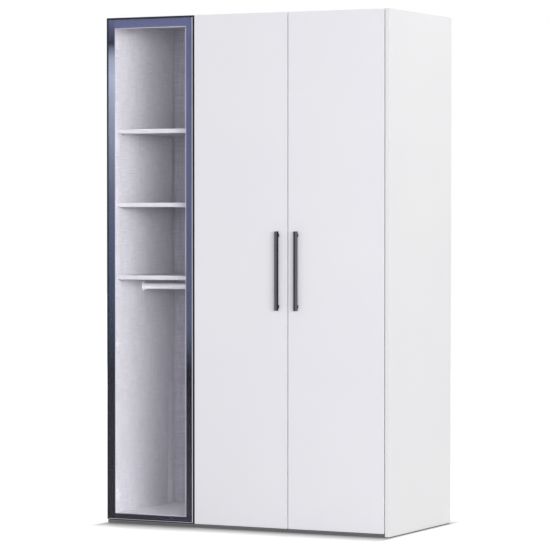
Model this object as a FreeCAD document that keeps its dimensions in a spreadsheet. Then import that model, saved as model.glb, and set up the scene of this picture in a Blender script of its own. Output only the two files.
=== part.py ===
import FreeCAD, Part
import math
import os
import Sketcher

# A three-door wardrobe: a narrow unit behind a framed glass door, a wider unit behind a pair of
# plain doors, and a full-height end panel. Millimetres, +Z up, front towards -Y. Layout values run
# from the left face (x), from the plane of the door fronts (y) and from the floor (z); the frame's
# origin is the middle of the footprint on the floor.

Vector = FreeCAD.Vector
doc = FreeCAD.newDocument("Wardrobe")
sheet = doc.addObject("Spreadsheet::Sheet", "Sizes")
sub_parts = []


class Size:
    """A length that knows its formula in the sheet and its value at the drawn size."""

    def __init__(self, formula, value):
        self.formula = formula
        self.value = value

    def _join(self, sign, left, right, value):
        return Size(f"({formula_of(left)} {sign} {formula_of(right)})", value)

    def __add__(self, other):
        return self._join("+", self, other, self.value + value_of(other))

    def __radd__(self, other):
        return self._join("+", other, self, value_of(other) + self.value)

    def __sub__(self, other):
        return self._join("-", self, other, self.value - value_of(other))

    def __rsub__(self, other):
        return self._join("-", other, self, value_of(other) - self.value)

    def __mul__(self, other):
        return self._join("*", self, other, self.value * value_of(other))

    def __rmul__(self, other):
        return self._join("*", other, self, value_of(other) * self.value)

    def __truediv__(self, other):
        return self._join("/", self, other, self.value / value_of(other))

    def __neg__(self):
        return self * -1


def formula_of(length):
    return length.formula if isinstance(length, Size) else f"({length})"


def value_of(length):
    return length.value if isinstance(length, Size) else length


def size(name, value):
    """Write one driving dimension into the next row of the sheet."""
    row = size.rows = getattr(size, "rows", 0) + 1
    sheet.set(f"A{row}", name)
    sheet.set(f"B{row}", str(value))
    sheet.setAlias(f"B{row}", name)
    return Size(f"Sizes.{name}", value)


# Whole wardrobe
overall_width = size("overall_width", 1290)
overall_depth = size("overall_depth", 620)
overall_height = size("overall_height", 2100)
glass_unit_width = size("glass_unit_width", 412)
board = size("board", 18)
hole_clearance = size("hole_clearance", 0.05)
running_clearance = size("running_clearance", 0.05)

# Doors, as hung
door_thickness = size("door_thickness", 18)
door_gap = size("door_gap", 4)
door_back_gap = size("door_back_gap", 4.5)
door_bottom = size("door_bottom", 16)
edge_radius = size("edge_radius", 2)

# Carcase boards
bottom_height = size("bottom_height", 20)
back_thickness = size("back_thickness", 8)
back_inset = size("back_inset", 60)
groove_depth = size("groove_depth", 6)
groove_clearance = size("groove_clearance", 0.2)
shelf_setback = size("shelf_setback", 38)
shelf_end_gap = size("shelf_end_gap", 0.5)
upper_shelf_height = size("upper_shelf_height", 1622)
middle_shelf_height = size("middle_shelf_height", 1316)
lower_shelf_height = size("lower_shelf_height", 1014)
hat_shelf_height = size("hat_shelf_height", 1760)

# Shelf pins, dowels, bolts and screws
shelf_pin_diameter = size("shelf_pin_diameter", 5)
shelf_pin_length = size("shelf_pin_length", 16)
shelf_pin_seat = size("shelf_pin_seat", 8)
shelf_pin_inset = size("shelf_pin_inset", 40)
dowel_diameter = size("dowel_diameter", 8)
dowel_length = size("dowel_length", 34)
dowel_seat = size("dowel_seat", 10)
dowel_inset = size("dowel_inset", 60)
bolt_diameter = size("bolt_diameter", 6)
bolt_grip = size("bolt_grip", 26)
sleeve_diameter = size("sleeve_diameter", 8)
bolt_head_diameter = size("bolt_head_diameter", 14)
bolt_head_thickness = size("bolt_head_thickness", 2.5)
fixing_front = size("fixing_front", 120)
fixing_rear = size("fixing_rear", 460)
fixing_low = size("fixing_low", 200)
fixing_high = size("fixing_high", 1850)
panel_screw_diameter = size("panel_screw_diameter", 4)
panel_screw_grip = size("panel_screw_grip", 12)
panel_screw_head = size("panel_screw_head", 9)
panel_screw_head_thickness = size("panel_screw_head_thickness", 3)

# Hanging rails and their end brackets
rail_diameter = size("rail_diameter", 25)
rail_wall = size("rail_wall", 1.5)
rail_drop = size("rail_drop", 32)
rail_depth = size("rail_depth", 280)
rail_end_gap = size("rail_end_gap", 0.2)
socket_plate_height = size("socket_plate_height", 41)
socket_plate_width = size("socket_plate_width", 24)
socket_plate_thickness = size("socket_plate_thickness", 3)
socket_depth = size("socket_depth", 11)
socket_wall = size("socket_wall", 3)
socket_clearance = size("socket_clearance", 0.1)

# Floor: glides and plinth strips
glide_height = size("glide_height", 4)
glide_diameter = size("glide_diameter", 16)
glide_inset = size("glide_inset", 45)
plinth_depth = size("plinth_depth", 16)
plinth_lift = size("plinth_lift", 2)
plinth_gap = size("plinth_gap", 2)
plinth_groove = size("plinth_groove", 2)
plinth_end_gap = size("plinth_end_gap", 0.5)

# Wall brackets at the top rear
wall_bracket_width = size("wall_bracket_width", 40)
wall_bracket_leg = size("wall_bracket_leg", 42)
wall_bracket_thickness = size("wall_bracket_thickness", 2)
wall_hole_diameter = size("wall_hole_diameter", 6)
wall_hole_drop = size("wall_hole_drop", 26)

# Door buffers and the push latch of the glass door
buffer_diameter = size("buffer_diameter", 8)
buffer_clearance = size("buffer_clearance", 0.3)
buffer_inset = size("buffer_inset", 60)
latch_width = size("latch_width", 10)
latch_height = size("latch_height", 14)
latch_length = size("latch_length", 76)
latch_setback = size("latch_setback", 1)
latch_level = size("latch_level", 1080)
latch_travel = size("latch_travel", 3.5)
plunger_diameter = size("plunger_diameter", 6)
plunger_length = size("plunger_length", 44)
plunger_gap = size("plunger_gap", 0.3)
strike_thickness = size("strike_thickness", 1.2)
strike_width = size("strike_width", 14)
strike_height = size("strike_height", 30)

# Concealed hinges
hinge_margin = size("hinge_margin", 100)
hinge_axis_inset = size("hinge_axis_inset", 10)
hinge_pin_diameter = size("hinge_pin_diameter", 3)
hinge_pin_length = size("hinge_pin_length", 22)
pin_fit = size("pin_fit", 0.02)
arm_width = size("arm_width", 12)
arm_thickness = size("arm_thickness", 3.5)
arm_eye_radius = size("arm_eye_radius", 2.5)
arm_length = size("arm_length", 66)
arm_heel = size("arm_heel", 1.5)
arm_neck_back = size("arm_neck_back", 0.8)
arm_eye_blend = size("arm_eye_blend", 4)
plate_thickness = size("plate_thickness", 4)
plate_start = size("plate_start", 25)
plate_length = size("plate_length", 34)
plate_width = size("plate_width", 18)
wing_width = size("wing_width", 14)
wing_height = size("wing_height", 48)
slot_clearance = size("slot_clearance", 0.4)
slot_end_clearance = size("slot_end_clearance", 1.5)
cup_diameter = size("cup_diameter", 35)
cup_inset = size("cup_inset", 21.5)
cup_floor = size("cup_floor", 0.6)
cup_clearance = size("cup_clearance", 0.05)
flange_thickness = size("flange_thickness", 1.2)
flange_width = size("flange_width", 16)
flange_length = size("flange_length", 60)
housing_start = size("housing_start", 4.5)
housing_end = size("housing_end", 31)
housing_height = size("housing_height", 40)
housing_floor = size("housing_floor", 0.9)

# Glass door
lip_width = size("lip_width", 8)
lip_thickness = size("lip_thickness", 1.2)
frame_width = size("frame_width", 24)
frame_wall = size("frame_wall", 2.2)
chamber_wall = size("chamber_wall", 2)
glass_thickness = size("glass_thickness", 4)
glass_edge_gap = size("glass_edge_gap", 0.3)
enamel_thickness = size("enamel_thickness", 0.2)
gasket_thickness = size("gasket_thickness", 0.8)
gasket_inset = size("gasket_inset", 1)
border_side = size("border_side", 37)
border_top = size("border_top", 43)
border_bottom = size("border_bottom", 26)
cleat_leg = size("cleat_leg", 45)
cleat_clearance = size("cleat_clearance", 0.2)

# Bar handles of the plain doors
handle_length = size("handle_length", 320)
handle_width = size("handle_width", 16)
handle_projection = size("handle_projection", 24)
handle_bar_depth = size("handle_bar_depth", 10)
handle_bevel = size("handle_bevel", 3.5)
handle_foot = size("handle_foot", 14)
handle_foot_width = size("handle_foot_width", 9)
handle_foot_spacing = size("handle_foot_spacing", 288)
handle_edge_inset = size("handle_edge_inset", 41)
handle_level = size("handle_level", 1057)
handle_screw_diameter = size("handle_screw_diameter", 4)
handle_screw_grip = size("handle_screw_grip", 12)
handle_screw_head = size("handle_screw_head", 8)
handle_screw_head_thickness = size("handle_screw_head_thickness", 2.4)

doc.recompute()

# Planes that several pieces share
carcase_front = door_thickness + door_back_gap
top_underside = overall_height - board
bottom_upper_face = bottom_height + board
back_rear = overall_depth - back_inset
back_front = back_rear - back_thickness
shelf_front = carcase_front + shelf_setback
end_panel_face = overall_width - board
door_height = overall_height - door_bottom
peg_flats = 6
collar_flats = 16
hinge_count = 4
hinge_spacing = (door_height - 2 * hinge_margin) / (hinge_count - 1)
lowest_hinge = door_bottom + hinge_margin


def bind(thing, prop, length):
    thing.setExpression(prop, formula_of(length))


def place(thing, x, y, z):
    """Put a piece at layout values, which the frame's origin turns into its own coordinates."""
    bind(thing, "Placement.Base.x", x - overall_width / 2)
    bind(thing, "Placement.Base.y", y - (overall_depth - handle_projection) / 2)
    bind(thing, "Placement.Base.z", z)
    return thing


def turn(thing, axis, degrees):
    thing.Placement = FreeCAD.Placement(Vector(), FreeCAD.Rotation(Vector(*axis), degrees))
    return thing


def keep(thing, label):
    """Name a finished piece, which is then one node of the wardrobe."""
    thing.Label = label
    sub_parts.append(thing)
    return thing


def block(x, y, z):
    """A square-edged board or tool between two layout values on each axis."""
    thing = doc.addObject("Part::Box", "block")
    for prop, (start, end) in zip(("Length", "Width", "Height"), (x, y, z)):
        bind(thing, prop, end - start)
    return place(thing, x[0], y[0], z[0])


def lay(thing, axis):
    """Turn a piece that is drawn along +z to run along +x or +y."""
    if axis == "x":
        turn(thing, (0, 1, 0), 90)
    if axis == "y":
        turn(thing, (1, 0, 0), -90)
    return thing


def rod(axis, start, length, diameter):
    """A round bar that starts at a point of the layout and runs along +x, +y or +z."""
    thing = doc.addObject("Part::Cylinder", "rod")
    bind(thing, "Radius", diameter / 2)
    bind(thing, "Height", length)
    return place(lay(thing, axis), *start)


def peg(axis, start, length, diameter, flats=peg_flats):
    """A small fastener or its hole, drawn with flats so that the many copies stay light."""
    thing = doc.addObject("Part::Prism", "peg")
    thing.Polygon = round(flats)
    bind(thing, "Circumradius", diameter / 2)
    bind(thing, "Height", length)
    return place(lay(thing, axis), *start)


def group(things):
    thing = doc.addObject("Part::Compound", "group")
    thing.Links = things
    return thing


def fuse(things):
    thing = doc.addObject("Part::MultiFuse", "fuse")
    thing.Shapes = things
    return thing


def cut(base, tools):
    thing = doc.addObject("Part::Cut", "cut")
    thing.Base = base
    thing.Tool = group(tools) if len(tools) > 1 else tools[0]
    return thing


def origin_part(body, role):
    return next(part for part in body.Origin.OriginFeatures if part.Role == role)


def outline(body, plane, points):
    """A closed sketch through points, each held by its two distances from the sketch's origin."""
    sketch = body.newObject("Sketcher::SketchObject", "Outline")
    sketch.AttachmentSupport = [(origin_part(body, plane), "")]
    sketch.MapMode = "FlatFace"
    corners = [Vector(value_of(x), value_of(y), 0) for x, y in points]
    count = len(corners)
    for index in range(count):
        sketch.addGeometry(Part.LineSegment(corners[index], corners[(index + 1) % count]))
    for index in range(count):
        sketch.addConstraint(Sketcher.Constraint("Coincident", index, 2, (index + 1) % count, 1))
    for index, (x, y) in enumerate(points):
        for kind, distance in (("DistanceX", x), ("DistanceY", y)):
            number = sketch.addConstraint(
                Sketcher.Constraint(kind, -1, 1, index, 1, float(value_of(distance))))
            bind(sketch, f"Constraints[{number}]", distance)
    return sketch


def add_circle(sketch, diameter):
    """A round hole or boss at the sketch's origin."""
    index = sketch.addGeometry(Part.Circle(Vector(), Vector(0, 0, 1), value_of(diameter) / 2))
    sketch.addConstraint(Sketcher.Constraint("Coincident", index, 3, -1, 1))
    number = sketch.addConstraint(Sketcher.Constraint("Diameter", index, float(value_of(diameter))))
    bind(sketch, f"Constraints[{number}]", diameter)


def pad(body, sketch, length, sides="One side", reverse=False):
    feature = body.newObject("PartDesign::Pad", "Pad")
    feature.Profile = sketch
    feature.SideType = sides
    feature.Reversed = reverse
    bind(feature, "Length", length)
    doc.recompute()
    return feature


def row_of_hinges(body, feature):
    """Repeat a hinge piece up the door."""
    row = body.newObject("PartDesign::LinearPattern", "Row")
    row.Originals = [feature]
    row.Direction = (origin_part(body, "Z_Axis"), [""])
    bind(row, "Length", hinge_spacing * (hinge_count - 1))
    row.Occurrences = hinge_count
    body.Tip = row


# Carcase boards. Each unit is two sides with a top and a bottom between them, dowelled at the
# ends, and a thin back that stands in a groove in all four, clear of the skirting board.
dowels = []


def dowel_holes(inner_face, inwards, level):
    """Dowels between a side and the end of a top or bottom: returns the holes for both."""
    holes = []
    for depth in (carcase_front + dowel_inset, back_front - dowel_inset):
        seat = inner_face - inwards * dowel_seat
        start = seat if inwards == 1 else seat - dowel_length
        dowels.append(peg("x", (start, depth, level), dowel_length, dowel_diameter))
        holes.append(peg("x", (start, depth, level), dowel_length, dowel_diameter + 2 * hole_clearance))
    return holes


def back_grooves(left, right):
    """The groove that a unit's back stands in, a frame-shaped slot round the inside."""
    deep = (back_front - groove_clearance, back_rear + groove_clearance)
    return block((left - groove_depth, right + groove_depth), deep,
                 (bottom_upper_face - groove_depth, top_underside + groove_depth))


def shelf_pin_seats(inner_face, inwards, shelf_heights):
    """Pins that carry the shelves on one side: returns the pins and their holes."""
    pins, holes = [], []
    for height in shelf_heights:
        level = height - shelf_pin_diameter / 2
        for depth in (shelf_front + shelf_pin_inset, back_front - shelf_pin_inset):
            seat = inner_face - inwards * shelf_pin_seat
            start = seat if inwards == 1 else seat - shelf_pin_length
            pins.append(peg("x", (start, depth, level), shelf_pin_length, shelf_pin_diameter))
            holes.append(peg("x", (start, depth, level), shelf_pin_length,
                             shelf_pin_diameter + 2 * hole_clearance))
    return pins, holes


glass_inner_left = board
glass_inner_right = glass_unit_width - board
pair_inner_left = glass_unit_width + board
pair_inner_right = end_panel_face - board
carcase_depth = (carcase_front, overall_depth)
side_height = (glide_height, overall_height)
glass_shelves = (upper_shelf_height, middle_shelf_height, lower_shelf_height)
fixing_points = [(depth, level) for depth in (fixing_front, fixing_rear)
                 for level in (fixing_low, fixing_high)]
wall_bracket_places = (glass_unit_width / 2, (pair_inner_left + pair_inner_right) / 2)
bracket_screw_depth = overall_depth - wall_bracket_leg / 2

# The two inner sides stand back to back and are bolted together through sleeves.
sleeve_holes = [peg("x", (glass_inner_right, depth, level), 2 * board, sleeve_diameter + 2 * hole_clearance)
                for depth, level in fixing_points]
sleeves, bolts = [], []
for depth, level in fixing_points:
    head = peg("x", (glass_inner_right - bolt_head_thickness, depth, level), bolt_head_thickness,
               bolt_head_diameter)
    barrel = peg("x", (glass_inner_right, depth, level), 2 * board, sleeve_diameter)
    bore = peg("x", (pair_inner_left - bolt_grip, depth, level), bolt_grip,
               bolt_diameter + 2 * hole_clearance)
    sleeves.append(cut(fuse([head, barrel]), [bore]))
    bolt_head = peg("x", (pair_inner_left, depth, level), bolt_head_thickness, bolt_head_diameter)
    shank = peg("x", (pair_inner_left - bolt_grip, depth, level), bolt_grip, bolt_diameter)
    bolts.append(fuse([bolt_head, shank]))
keep(group(sleeves), "connecting_sleeves")
keep(group(bolts), "connecting_bolts")

# The end panel is screwed on from inside the wide unit.
end_screws, end_screw_holes = [], []
for depth, level in fixing_points:
    head = peg("x", (pair_inner_right - panel_screw_head_thickness, depth, level),
               panel_screw_head_thickness, panel_screw_head)
    shank = peg("x", (pair_inner_right, depth, level), board + panel_screw_grip, panel_screw_diameter)
    end_screws.append(fuse([head, shank]))
    end_screw_holes.append(peg("x", (pair_inner_right, depth, level), board + panel_screw_grip,
                               panel_screw_diameter + 2 * hole_clearance))
keep(group(end_screws), "end_panel_screws")

# One unit after the other: sides, top, bottom, back and the pins for its shelves.
shelf_pins = []
units = (
    ("glass_unit", 0, glass_inner_left, glass_inner_right, glass_unit_width, glass_shelves,
     "left_side_panel", "glass_unit_inner_side", [], sleeve_holes),
    ("pair_unit", glass_unit_width, pair_inner_left, pair_inner_right, end_panel_face, (hat_shelf_height,),
     "pair_unit_inner_side", "pair_unit_outer_side", sleeve_holes, end_screw_holes),
)
bracket_screws = []
for (unit, left, inner_left, inner_right, right, shelves, left_name, right_name, left_bores,
     right_bores), bracket_middle in zip(units, wall_bracket_places):
    groove = back_grooves(inner_left, inner_right)
    left_pins, left_pin_holes = shelf_pin_seats(inner_left, 1, shelves)
    right_pins, right_pin_holes = shelf_pin_seats(inner_right, -1, shelves)
    shelf_pins += left_pins + right_pins
    top_level = overall_height - board / 2
    bottom_level = bottom_height + board / 2
    left_top, left_bottom = (dowel_holes(inner_left, 1, level) for level in (top_level, bottom_level))
    right_top, right_bottom = (dowel_holes(inner_right, -1, level) for level in (top_level, bottom_level))
    screw_holes = []
    for shift in (-wall_bracket_width / 4, wall_bracket_width / 4):
        middle = bracket_middle + shift
        leg_underside = top_underside - wall_bracket_thickness
        head = peg("z", (middle, bracket_screw_depth, leg_underside - panel_screw_head_thickness),
                   panel_screw_head_thickness, panel_screw_head)
        reach = wall_bracket_thickness + panel_screw_grip
        shank = peg("z", (middle, bracket_screw_depth, leg_underside), reach, panel_screw_diameter)
        bracket_screws.append(fuse([head, shank]))
        screw_holes.append(peg("z", (middle, bracket_screw_depth, leg_underside), reach,
                               panel_screw_diameter + 2 * hole_clearance))
    keep(cut(block((left, inner_left), carcase_depth, side_height),
             [groove] + left_pin_holes + left_top + left_bottom + left_bores), left_name)
    keep(cut(block((inner_right, right), carcase_depth, side_height),
             [groove] + right_pin_holes + right_top + right_bottom + right_bores), right_name)
    between = (inner_left, inner_right)
    keep(cut(block(between, carcase_depth, (top_underside, overall_height)),
             [groove] + left_top + right_top + screw_holes), f"{unit}_top")
    keep(cut(block(between, carcase_depth, (bottom_height, bottom_upper_face)),
             [groove] + left_bottom + right_bottom), f"{unit}_bottom")
    reach = groove_depth - groove_clearance
    keep(block((inner_left - reach, inner_right + reach), (back_front, back_rear),
               (bottom_upper_face - reach, top_underside + reach)), f"{unit}_back")
keep(group(dowels), "panel_dowels")
keep(group(shelf_pins), "shelf_pins")
keep(group(bracket_screws), "wall_bracket_screws")

# End panel: one tall board from the floor, flush with the door fronts.
keep(cut(block((end_panel_face, overall_width), (0, overall_depth), (0, overall_height)),
         end_screw_holes), "end_panel")

# Shelves: boards with a small gap at each end, set back from the doors, resting on their pins.
shelf_depth = (shelf_front, back_front - shelf_end_gap)
for name, height, inner_left, inner_right in (
        ("upper_shelf", upper_shelf_height, glass_inner_left, glass_inner_right),
        ("middle_shelf", middle_shelf_height, glass_inner_left, glass_inner_right),
        ("lower_shelf", lower_shelf_height, glass_inner_left, glass_inner_right),
        ("hat_shelf", hat_shelf_height, pair_inner_left, pair_inner_right)):
    keep(block((inner_left + shelf_end_gap, inner_right - shelf_end_gap), shelf_depth,
               (height, height + board)), name)


# Hanging rails: round tubes whose ends lie in open brackets on the sides.
def rail_socket(inner_face, inwards, level):
    """A tall plate with half a collar below, in which the end of the rail is laid from above."""
    reach = socket_plate_thickness + socket_depth
    bore = (rail_diameter + 2 * socket_clearance) / math.cos(math.pi / collar_flats)
    beyond = bore / 2 + 2 * socket_wall
    plate_end = inner_face + inwards * socket_plate_thickness
    collar_end = inner_face + inwards * reach
    across = (inner_face, plate_end) if inwards == 1 else (plate_end, inner_face)
    collar_span = (inner_face, collar_end) if inwards == 1 else (collar_end, inner_face)
    bore_start = plate_end if inwards == 1 else collar_end
    plate = block(across, (rail_depth - socket_plate_width / 2, rail_depth + socket_plate_width / 2),
                  (level - socket_plate_height / 2, level + socket_plate_height / 2))
    collar = peg("x", (collar_span[0], rail_depth, level), reach, bore + 2 * socket_wall, collar_flats)
    seat = peg("x", (bore_start, rail_depth, level), socket_depth, bore, collar_flats)
    way_in = block(collar_span, (rail_depth - beyond, rail_depth + beyond), (level, level + beyond))
    return fuse([plate, cut(collar, [seat, way_in])])


for unit, inner_left, inner_right, shelf in (
        ("glass_unit", glass_inner_left, glass_inner_right, lower_shelf_height),
        ("pair_unit", pair_inner_left, pair_inner_right, hat_shelf_height)):
    level = shelf - rail_drop
    seat = socket_plate_thickness + rail_end_gap
    start = (inner_left + seat, rail_depth, level)
    length = inner_right - inner_left - 2 * seat
    keep(cut(rod("x", start, length, rail_diameter),
             [rod("x", start, length, rail_diameter - 2 * rail_wall)]), f"{unit}_rail")
    keep(group([rail_socket(inner_left, 1, level), rail_socket(inner_right, -1, level)]),
         f"{unit}_rail_sockets")

# Floor glides under the four sides, and the two plinth strips, extruded with a groove along the front.
glides = [peg("z", (middle, depth, 0), glide_height, glide_diameter)
          for middle in (board / 2, glass_unit_width - board / 2, glass_unit_width + board / 2,
                         end_panel_face - board / 2)
          for depth in (carcase_front + glide_inset, overall_depth - glide_inset)]
keep(group(glides), "floor_glides")

plinth_height = door_bottom - plinth_gap - plinth_lift
for name, start, end in (
        ("glass_unit_plinth", plinth_end_gap, glass_unit_width - plinth_end_gap),
        ("pair_unit_plinth", glass_unit_width + plinth_end_gap, end_panel_face - plinth_end_gap)):
    body = doc.addObject("PartDesign::Body", name)
    groove_low = plinth_height / 2 - plinth_groove / 2
    groove_high = plinth_height / 2 + plinth_groove / 2
    section = outline(body, "YZ_Plane", [
        (0, 0), (plinth_depth, 0), (plinth_depth, plinth_height), (0, plinth_height),
        (0, groove_high), (plinth_groove, groove_high), (plinth_groove, groove_low), (0, groove_low)])
    pad(body, section, end - start)
    keep(place(body, start, carcase_front - plinth_depth, plinth_lift), name)

# Wall brackets: pressed angles under the tops, behind the backs, with a hole for the wall screw.
wall_brackets = []
for middle in wall_bracket_places:
    across = (middle - wall_bracket_width / 2, middle + wall_bracket_width / 2)
    flat = block(across, (overall_depth - wall_bracket_leg, overall_depth),
                 (top_underside - wall_bracket_thickness, top_underside))
    upright = block(across, (overall_depth - wall_bracket_thickness, overall_depth),
                    (top_underside - wall_bracket_leg, top_underside))
    holes = [rod("y", (middle, overall_depth - wall_bracket_thickness, top_underside - wall_hole_drop),
                 wall_bracket_thickness, wall_hole_diameter)]
    for shift in (-wall_bracket_width / 4, wall_bracket_width / 4):
        holes.append(peg("z", (middle + shift, bracket_screw_depth, top_underside - wall_bracket_thickness),
                         wall_bracket_thickness, panel_screw_diameter + 2 * hole_clearance))
    wall_brackets.append(cut(fuse([flat, upright]), holes))
keep(group(wall_brackets), "wall_brackets")

# Doors across the front
glass_door_width = glass_unit_width - door_gap / 2
middle_door_left = glass_unit_width + door_gap / 2
right_door_right = end_panel_face - door_gap
pair_middle = (middle_door_left + right_door_right) / 2
middle_door_right = pair_middle - door_gap / 2
right_door_left = pair_middle + door_gap / 2

# Soft buffers on the carcase edges that the closing sides of the doors meet.
buffer_places = [(glass_unit_width - board / 2, level) for level in
                 (bottom_upper_face + buffer_inset, top_underside - buffer_inset)]
for middle in (middle_door_right - buffer_inset, right_door_left + buffer_inset):
    buffer_places += [(middle, bottom_height + board / 2), (middle, overall_height - board / 2)]
buffer_length = door_back_gap - buffer_clearance
keep(group([peg("y", (middle, carcase_front - buffer_length, level), buffer_length, buffer_diameter)
            for middle, level in buffer_places]), "door_buffers")

# Push latch of the glass door: a body on the inner side, a sprung plunger, a strike on the door.
plunger_middle = glass_inner_right - latch_width / 2
plunger_front = door_thickness + strike_thickness + plunger_gap
plunger_room = plunger_length + latch_travel + plunger_gap
latch_case = block((glass_inner_right - latch_width, glass_inner_right),
                   (carcase_front + latch_setback, carcase_front + latch_setback + latch_length),
                   (latch_level - latch_height / 2, latch_level + latch_height / 2))
plunger_bore = peg("y", (plunger_middle, plunger_front, latch_level), plunger_room,
                   plunger_diameter + 2 * running_clearance)
keep(cut(latch_case, [plunger_bore]), "push_latch_body")
keep(peg("y", (plunger_middle, plunger_front, latch_level), plunger_length, plunger_diameter),
     "push_latch_plunger")
stile_inner_edge = glass_door_width - frame_width
keep(block((stile_inner_edge, stile_inner_edge + strike_width),
           (door_thickness, door_thickness + strike_thickness),
           (latch_level - strike_height / 2, latch_level + strike_height / 2)), "push_latch_strike")


# Concealed hinges, the same on every door: an arm fixed to the side on a cross-shaped plate reaches
# forward and, with a gooseneck bend, in to a pin that sits in the door.
arm_reach = board + plate_thickness - hinge_axis_inset
slot_start = hinge_axis_inset - arm_eye_radius - slot_end_clearance
slot_end = hinge_axis_inset + arm_reach + arm_thickness + slot_end_clearance
hinge_levels = [lowest_hinge + step * hinge_spacing for step in range(hinge_count)]


class Hanging:
    """Where a door hangs: its hinge edge, which way its width runs and where its side stands."""

    def __init__(self, name, edge, inwards, plate, axis_depth):
        self.name = name
        self.edge = edge
        self.inwards = inwards
        self.plate = plate
        self.axis_depth = axis_depth
        self.axis = edge + inwards * hinge_axis_inset

    def across(self, start, end):
        """Two distances from the hinge edge, as an ordered pair along x."""
        ends = (self.edge + self.inwards * start, self.edge + self.inwards * end)
        return ends if self.inwards == 1 else ends[::-1]

    def hang(self, body):
        """Set a row of hinge pieces, drawn about the pin, on this door's line of pins."""
        start = hinge_levels[0]
        if self.inwards == -1:
            turn(body, (0, 1, 0), 180)
            start = hinge_levels[-1]
        return place(body, self.axis, self.axis_depth, start)


def hinge_arms(door):
    body = doc.addObject("PartDesign::Body", "arms")
    outer = arm_reach + arm_thickness
    eye_corner = arm_eye_radius * math.cos(math.pi / 4)
    sketch = outline(body, "XY_Plane", [
        (0, -arm_eye_radius), (outer - arm_heel, -arm_eye_radius), (outer, arm_heel - arm_eye_radius),
        (outer, arm_length), (arm_reach, arm_length), (arm_reach, arm_neck_back),
        (arm_eye_blend, arm_neck_back), (0, arm_eye_radius), (-eye_corner, eye_corner),
        (-arm_eye_radius, 0), (-eye_corner, -eye_corner)])
    add_circle(sketch, hinge_pin_diameter + 2 * running_clearance)
    row_of_hinges(body, pad(body, sketch, arm_width, "Symmetric"))
    return keep(door.hang(body), f"{door.name}_hinge_arms")


def hinge_plates(door):
    body = doc.addObject("PartDesign::Body", "plates")
    wing_start = plate_start + (plate_length - wing_width) / 2
    plate_end = plate_start + plate_length
    wing_end = wing_start + wing_width
    low, high = -plate_width / 2, plate_width / 2
    bottom, top = -wing_height / 2, wing_height / 2
    sketch = outline(body, "YZ_Plane", [
        (plate_start, low), (wing_start, low), (wing_start, bottom), (wing_end, bottom),
        (wing_end, low), (plate_end, low), (plate_end, high), (wing_end, high),
        (wing_end, top), (wing_start, top), (wing_start, high), (plate_start, high)])
    plate = pad(body, sketch, door.plate)
    row_of_hinges(body, plate)
    door.hang(body)
    bind(body, "Placement.Base.x",
         door.axis + door.inwards * (arm_reach - door.plate) - overall_width / 2)
    return keep(body, f"{door.name}_hinge_plates")


def hinge_pins(door):
    pins = [rod("z", (door.axis, door.axis_depth, level - hinge_pin_length / 2), hinge_pin_length,
                hinge_pin_diameter) for level in hinge_levels]
    return keep(group(pins), f"{door.name}_hinge_pins")


def arm_slot(door, level):
    """Room for the arm to swing in a cup or housing, open at the back of the door."""
    half = arm_width / 2 + slot_clearance
    floor = door.axis_depth - arm_eye_radius - slot_clearance
    return block(door.across(slot_start, slot_end), (floor, door_thickness + 2 * flange_thickness),
                 (level - half, level + half))


def pin_groove(door, level):
    """The groove that a pin is pressed into from the back of the door."""
    half = hinge_pin_diameter / 2 + pin_fit
    return block((door.axis - half, door.axis + half), (door.axis_depth - half, door_thickness),
                 (level - hinge_pin_length / 2, level + hinge_pin_length / 2))


def hinge_cups(door):
    """Pressed cups in round bores in the back of the door, each with a flange for two screws."""
    cups, bores = [], []
    floor = door.axis_depth - arm_eye_radius - slot_clearance - cup_floor
    middle = door.edge + door.inwards * cup_inset
    for level in hinge_levels:
        cup = rod("y", (middle, floor, level), door_thickness - floor, cup_diameter)
        flange = block(door.across(cup_inset - flange_width / 2, cup_inset + flange_width / 2),
                       (door_thickness, door_thickness + flange_thickness),
                       (level - flange_length / 2, level + flange_length / 2))
        cups.append(cut(cut(fuse([cup, flange]), [arm_slot(door, level)]), [pin_groove(door, level)]))
        bores.append(rod("y", (middle, floor - cup_clearance, level),
                         door_thickness - floor + cup_clearance, cup_diameter + 2 * cup_clearance))
    keep(group(cups), f"{door.name}_hinge_cups")
    return bores


def plain_door(door, left, right, bores):
    """A lacquered board with its hinge edge rounded so that it turns within the gap."""
    body = doc.addObject("PartDesign::Body", "door")
    width = right - left
    sketch = outline(body, "XY_Plane", [(0, 0), (width, 0), (width, door_thickness), (0, door_thickness)])
    leaf = pad(body, sketch, door_height)
    hinge_side = 0 if door.inwards == 1 else width.value
    upright = [f"Edge{number}" for number, edge in enumerate(leaf.Shape.Edges, 1)
               if edge.BoundBox.ZLength > door_thickness.value
               and abs(edge.CenterOfMass.x - hinge_side) < door_thickness.value]
    rounding = body.newObject("PartDesign::Fillet", "HingeEdge")
    rounding.Base = (leaf, upright)
    bind(rounding, "Radius", edge_radius)
    body.Tip = rounding
    place(body, left, 0, door_bottom)
    return keep(cut(body, bores), f"{door.name}_door_panel")


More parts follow.
